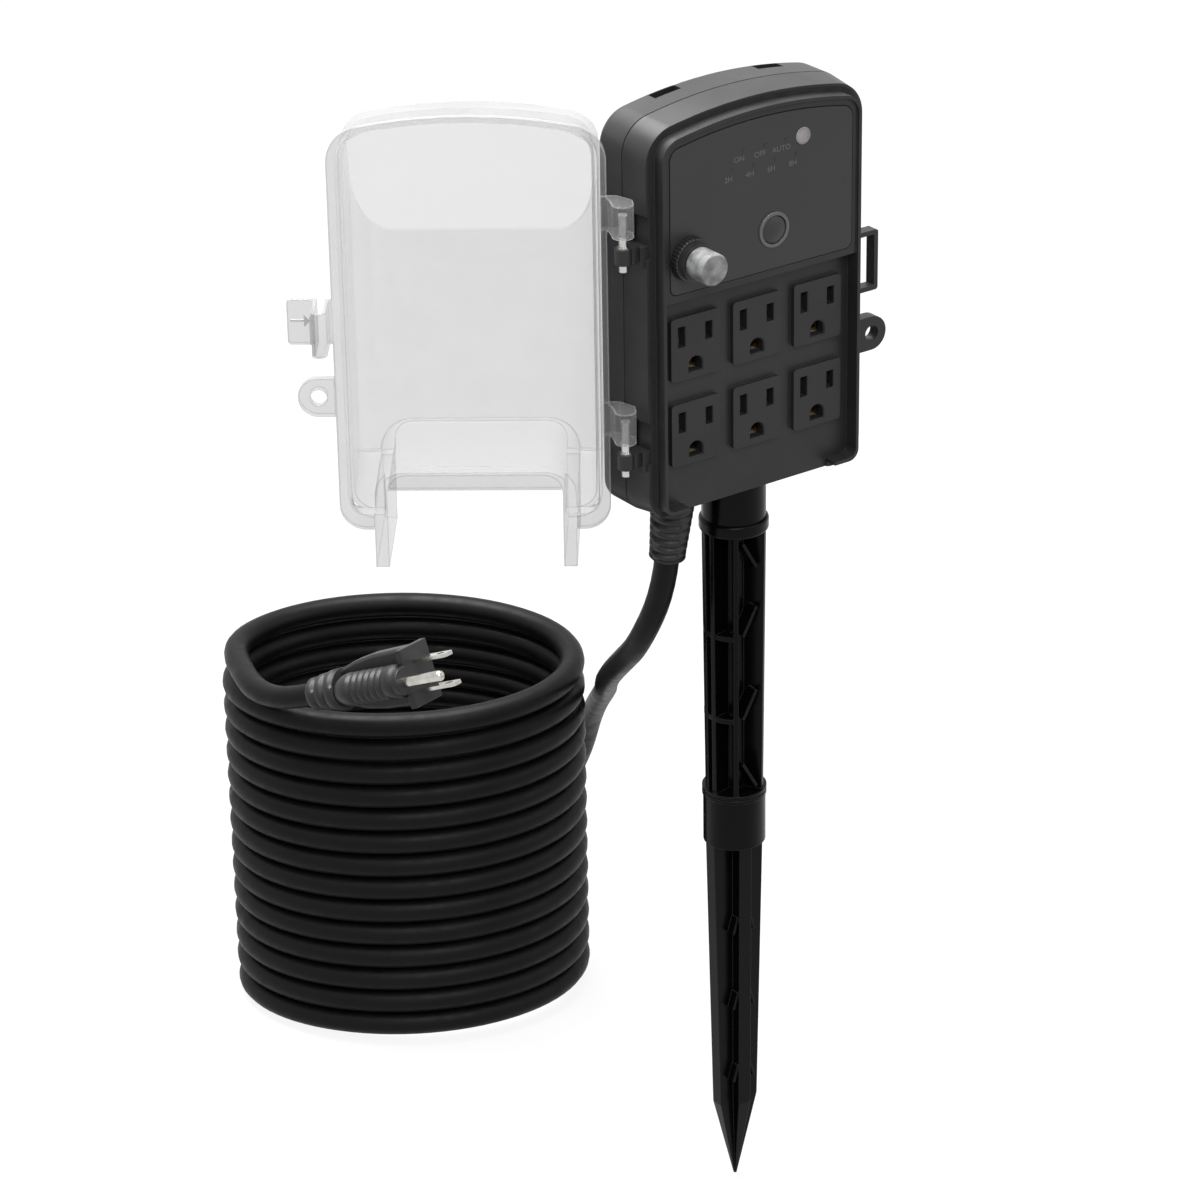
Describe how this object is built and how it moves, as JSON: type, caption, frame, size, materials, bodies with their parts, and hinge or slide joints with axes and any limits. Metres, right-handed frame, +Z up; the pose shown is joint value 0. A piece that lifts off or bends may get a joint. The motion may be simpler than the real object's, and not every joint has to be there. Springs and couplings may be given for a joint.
{
  "type": "garden socket spike",
  "caption": "Outdoor socket box on a ground stake, with a light sensor, timer button, clear hinged cover swung open and a coiled supply cord with its plug.",
  "frame": {"origin": "tip of the ground stake, on the stake's axis", "axes": "+Z up along the stake, -Y the way the outlets face, +X to the right of someone who looks at the outlets"},
  "size_m": [0.2529, 0.3338, 0.476],
  "materials": {
    "shell_plastic": "moulded, fine grain",
    "panel_film": "printed satin film on a moulded panel",
    "stake_plastic": "moulded, polished",
    "clear_plastic": "clear moulded",
    "cord_pvc": "extruded, semi-matt",
    "core_white": "extruded",
    "core_black": "extruded",
    "core_green": "extruded",
    "seal_rubber": "moulded foam",
    "photocell_plastic": "knurled, moulded",
    "photocell_window": "milky moulded",
    "lens_plastic": "translucent moulded",
    "indicator_plastic": "clear moulded",
    "sensor_epoxy": "cast",
    "board_laminate": "lacquered laminate",
    "inner_plastic": "moulded",
    "iron_core": "varnished laminations",
    "can_aluminium": "drawn can",
    "bus_brass": "stamped",
    "screw_steel": "zinc plated",
    "pin_steel": "drawn",
    "blade_nickel": "nickel plated"
  },
  "bodies": {
    "housing": {"button_ring": "shell_plastic", "capacitor": "can_aluminium", "contact_carrier": "inner_plastic", "control_board": "board_laminate", "control_panel": "panel_film", "cord_clamp": "inner_plastic", "cord_coil": "cord_pvc", "cord_inner": "cord_pvc", "cord_lead": "cord_pvc", "cord_tail": "cord_pvc", "cover_seal": "seal_rubber", "front_housing": "shell_plastic", "ground_bus": "bus_brass", "ground_core": "core_green", "hinge_pin_lower": "pin_steel", "hinge_pin_upper": "pin_steel", "hinge_washer_lower": "pin_steel", "hinge_washer_upper": "pin_steel", "housing_gasket": "seal_rubber", "housing_screw_1": "screw_steel", "housing_screw_2": "screw_steel", "housing_screw_3": "screw_steel", "housing_screw_4": "screw_steel", "indicator_1": "indicator_plastic", "indicator_2": "indicator_plastic", "indicator_3": "indicator_plastic", "indicator_4": "indicator_plastic", "indicator_5": "indicator_plastic", "indicator_6": "indicator_plastic", "indicator_7": "indicator_plastic", "line_bus": "bus_brass", "line_core": "core_black", "lower_stake": "stake_plastic", "neutral_bus": "bus_brass", "neutral_core": "core_white", "photocell_base": "photocell_plastic", "photocell_cap": "photocell_window", "photocell_nut": "photocell_plastic", "photocell_sensor": "sensor_epoxy", "plug_blade_lower": "blade_nickel", "plug_blade_upper": "blade_nickel", "plug_body": "cord_pvc", "plug_ground_pin": "blade_nickel", "plug_relief": "cord_pvc", "rear_housing": "shell_plastic", "relay_left": "inner_plastic", "relay_upper": "inner_plastic", "remote_lens": "lens_plastic", "remote_receiver": "sensor_epoxy", "stake_socket": "shell_plastic", "strain_relief": "cord_pvc", "tact_switch": "inner_plastic", "terminal_block": "inner_plastic", "transformer": "iron_core", "upper_stake": "stake_plastic"},
    "cover": {"cover_shell": "clear_plastic"},
    "latch": {"cover_latch": "clear_plastic"},
    "button": {"button_cap": "shell_plastic"}
  },
  "joints": [
    {"name": "cover_hinge", "type": "hinge", "parent": "housing", "child": "cover", "pos_m": [-0.0575, -0.00895, 0.39], "axis": [0, 0, 1], "range_deg": [0, 217]},
    {"name": "latch_flex", "type": "hinge", "parent": "cover", "child": "latch", "pos_m": [-0.15312, 0.05541, 0.3952], "axis": [0, 0, -1], "range_deg": [0, 11], "stiffness_Nm_per_rad": 0.3},
    {"name": "button_press", "type": "slide", "parent": "housing", "child": "button", "axis": [0, 1, 0], "range_m": [0, 0.001], "stiffness_N_per_m": 1500}
  ]
}
